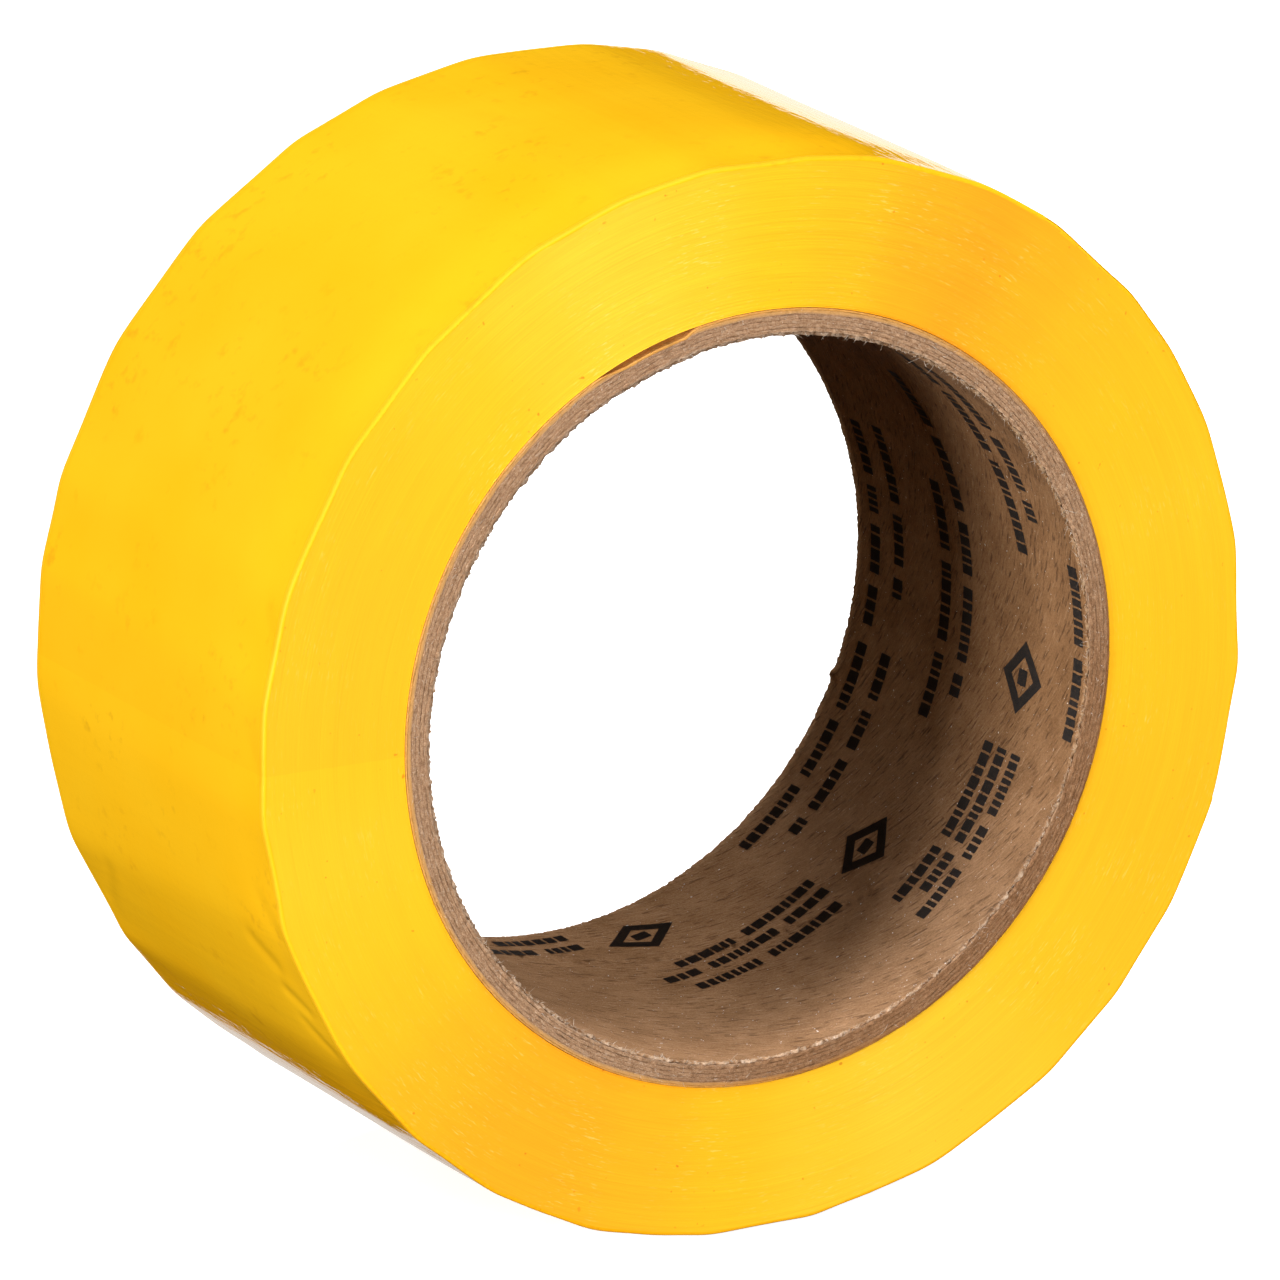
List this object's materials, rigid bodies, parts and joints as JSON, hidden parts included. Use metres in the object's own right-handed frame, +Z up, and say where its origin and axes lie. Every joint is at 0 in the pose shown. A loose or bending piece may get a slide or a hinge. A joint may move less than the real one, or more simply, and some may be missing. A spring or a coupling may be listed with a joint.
{
  "type": "packing tape roll",
  "caption": "Roll of glossy packing tape wound on a spiral paperboard core, standing on its rim, with a free end that peels away.",
  "frame": {"origin": "on the surface that the roll stands on, below the middle of its width and of its diameter", "axes": "+Z up, the roll's axis along Y, front face towards -Y, free end on the +X side"},
  "size_m": [0.1137, 0.0512, 0.1133],
  "materials": {
    "kraft_liner": "matte smooth kraft paper, printed",
    "paperboard": "cut edges of grey-brown recycled board",
    "outer_liner": "thin orange-tan kraft",
    "wound_tape": "satin cut edges of wound film, fine rings",
    "tape_film": "glossy smooth film",
    "adhesive": "tacky satin adhesive coat seen through yellow film"
  },
  "bodies": {
    "roll": {"core_inner_liner": "kraft_liner", "core_ply_1": "paperboard", "core_ply_2": "paperboard", "core_ply_3": "paperboard", "core_ply_4": "paperboard", "core_ply_5": "paperboard", "core_outer_liner": "outer_liner", "tape_first_turn": "wound_tape", "tape_turns_1": "wound_tape", "tape_turns_2": "wound_tape", "tape_turns_3": "wound_tape", "tape_turns_4": "wound_tape", "tape_turns_5": "wound_tape", "tape_turns_6": "wound_tape"},
    "free_end_1": {"tape_end_1": "tape_film"},
    "free_end_2": {"tape_end_2": "tape_film"},
    "free_end_3": {"tape_end_3": "tape_film"},
    "free_end_4": {"tape_end_4": "tape_film"},
    "free_end_5": {"tape_end_5": "tape_film"},
    "free_end_6": {"tape_end_6": "tape_film"}
  },
  "joints": [
    {"name": "peel_1", "type": "hinge", "parent": "roll", "child": "free_end_1", "pos_m": [0.05382, 0.0004, 0.03804], "axis": [0, 1, 0], "range_deg": [0, 70]},
    {"name": "peel_2", "type": "hinge", "parent": "free_end_1", "child": "free_end_2", "pos_m": [0.05671, 0.0004, 0.05161], "axis": [0, 1, 0], "range_deg": [0, 17.5]},
    {"name": "peel_3", "type": "hinge", "parent": "free_end_2", "child": "free_end_3", "pos_m": [0.05606, 0.0004, 0.06646], "axis": [0, 1, 0], "range_deg": [0, 17.5]},
    {"name": "peel_4", "type": "hinge", "parent": "free_end_3", "child": "free_end_4", "pos_m": [0.05278, 0.0004, 0.0779], "axis": [0, 1, 0], "range_deg": [0, 17.5]},
    {"name": "peel_5", "type": "hinge", "parent": "free_end_4", "child": "free_end_5", "pos_m": [0.04879, 0.0004, 0.08589], "axis": [0, 1, 0], "range_deg": [0, 17.5]},
    {"name": "peel_6", "type": "hinge", "parent": "free_end_5", "child": "free_end_6", "pos_m": [0.04361, 0.0004, 0.09317], "axis": [0, 1, 0], "range_deg": [0, 17.5]}
  ],
  "couplings": [
    {"joint": "peel_2", "follows": "peel_1", "ratio": 0.25},
    {"joint": "peel_3", "follows": "peel_1", "ratio": 0.25},
    {"joint": "peel_4", "follows": "peel_1", "ratio": 0.25},
    {"joint": "peel_5", "follows": "peel_1", "ratio": 0.25},
    {"joint": "peel_6", "follows": "peel_1", "ratio": 0.25}
  ]
}
